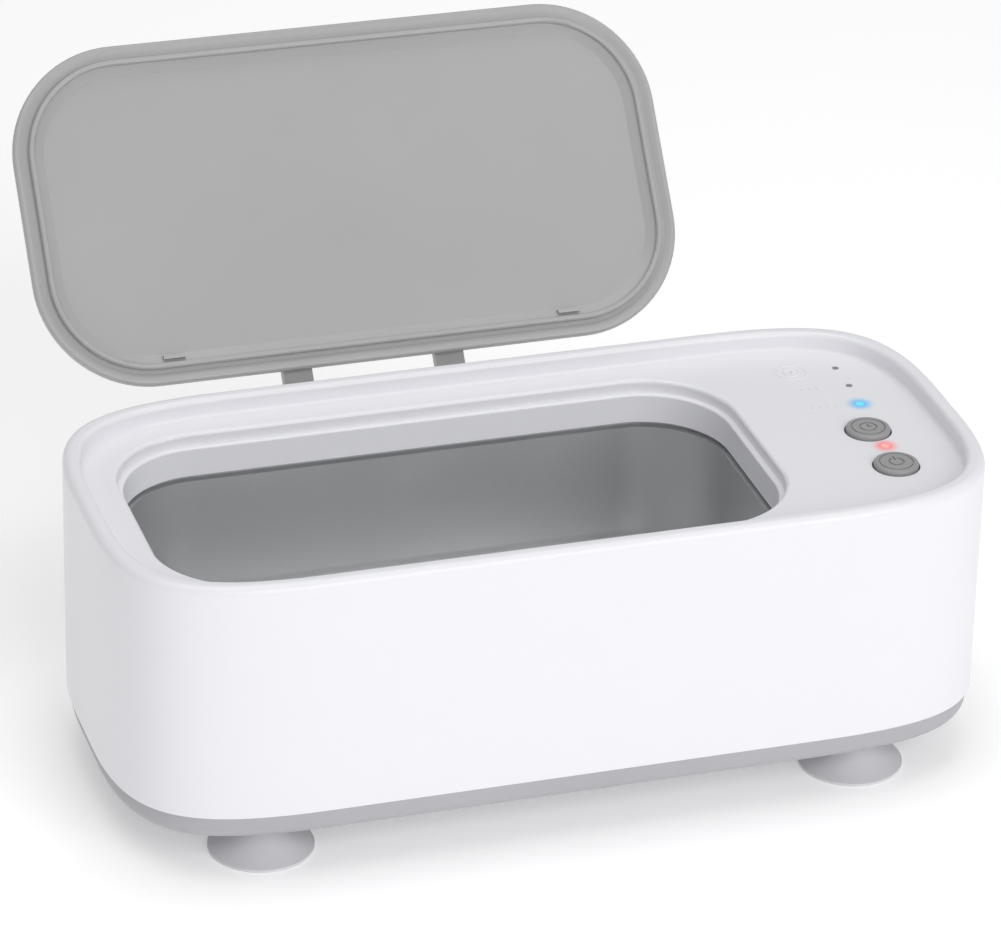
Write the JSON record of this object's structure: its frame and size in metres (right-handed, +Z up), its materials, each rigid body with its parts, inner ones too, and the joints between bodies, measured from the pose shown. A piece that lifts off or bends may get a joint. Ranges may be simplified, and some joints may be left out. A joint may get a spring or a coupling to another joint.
{
  "type": "ultrasonic cleaner",
  "caption": "Portable ultrasonic cleaner: soft-cornered housing with an oblong steel tank, a hinged lid shown open behind it, push buttons and status lights on a side deck, and suction feet.",
  "frame": {"origin": "on the plane the suction cups stand on, under the middle of the box that holds the whole cleaner with its lid open", "axes": "+X along the housing towards the control deck, +Y towards the hinge side, +Z up"},
  "size_m": [0.205, 0.1596, 0.1338],
  "materials": {
    "base": "grey ABS, fine grain",
    "screw": "zinc-plated steel",
    "connector": "natural nylon",
    "button": "satin grey ABS",
    "board": "glass epoxy with solder mask",
    "wire_black": "PVC insulation",
    "epoxy": "moulded epoxy",
    "plate": "turned",
    "capacitor": "sleeved aluminium cans",
    "sink": "extruded",
    "pins": "ground steel",
    "inductor": "enamelled copper winding on a ferrite ring",
    "lid": "satin grey ABS",
    "pipe_blue": "clear acrylic lit blue",
    "pipe_red": "clear acrylic lit red",
    "pipe_clear": "clear acrylic, unlit",
    "piezo": "fired lead zirconate with silvered faces",
    "wire_red": "PVC insulation",
    "led": "clear epoxy",
    "cup": "translucent grey rubber",
    "switch": "moulded nylon",
    "plunger": "moulded nylon",
    "tank": "drawn stainless steel, brushed",
    "clamp": "glass-filled nylon",
    "gasket": "soft silicone",
    "coil": "taped winding",
    "ferrite": "ground ferrite",
    "housing": "satin white ABS with a faint lavender tint",
    "socket": "plated steel shell"
  },
  "bodies": {
    "housing": {"base_cover": "base", "base_screws": "screw", "board_connectors": "connector", "control_board": "board", "control_board_screws": "screw", "control_wires": "wire_black", "controller_chip": "epoxy", "coupling_plate": "plate", "driver_board": "board", "driver_board_screws": "screw", "filter_capacitors": "capacitor", "heat_sink": "sink", "hinge_pins": "pins", "inductor": "inductor", "light_pipe_blue": "pipe_blue", "light_pipe_red": "pipe_red", "light_pipes_timer": "pipe_clear", "piezo_disc": "piezo", "piezo_wires": "wire_red", "power_transistor": "epoxy", "status_leds": "led", "suction_cup_back_left": "cup", "suction_cup_back_right": "cup", "suction_cup_front_left": "cup", "suction_cup_front_right": "cup", "switch_body_power": "switch", "switch_body_timer": "switch", "tank": "tank", "tank_clamp": "clamp", "tank_clamp_screws": "screw", "tank_gasket": "gasket", "transformer_coil": "coil", "transformer_core": "ferrite", "upper_housing": "housing", "usb_socket": "socket"},
    "lid": {"lid": "lid"},
    "button_timer": {"button_timer": "button"},
    "button_power": {"button_power": "button"},
    "plunger_timer": {"switch_plunger_timer": "plunger"},
    "plunger_power": {"switch_plunger_power": "plunger"}
  },
  "joints": [
    {"name": "lid_hinge", "type": "hinge", "parent": "housing", "child": "lid", "pos_m": [-0.0172, 0.0176, 0.06545], "axis": [1, 0, 0], "range_deg": [0, 128.2]},
    {"name": "button_timer_press", "type": "slide", "parent": "housing", "child": "button_timer", "axis": [0, 0, -1], "range_m": [0, 0.0005], "stiffness_N_per_m": 2000, "springref_m": -0.0002},
    {"name": "button_power_press", "type": "slide", "parent": "housing", "child": "button_power", "axis": [0, 0, -1], "range_m": [0, 0.0005], "stiffness_N_per_m": 2000, "springref_m": -0.0002},
    {"name": "plunger_timer_press", "type": "slide", "parent": "housing", "child": "plunger_timer", "axis": [0, 0, -1], "range_m": [0, 0.0005]},
    {"name": "plunger_power_press", "type": "slide", "parent": "housing", "child": "plunger_power", "axis": [0, 0, -1], "range_m": [0, 0.0005]}
  ],
  "couplings": [
    {"joint": "plunger_timer_press", "follows": "button_timer_press", "ratio": 1},
    {"joint": "plunger_power_press", "follows": "button_power_press", "ratio": 1}
  ]
}
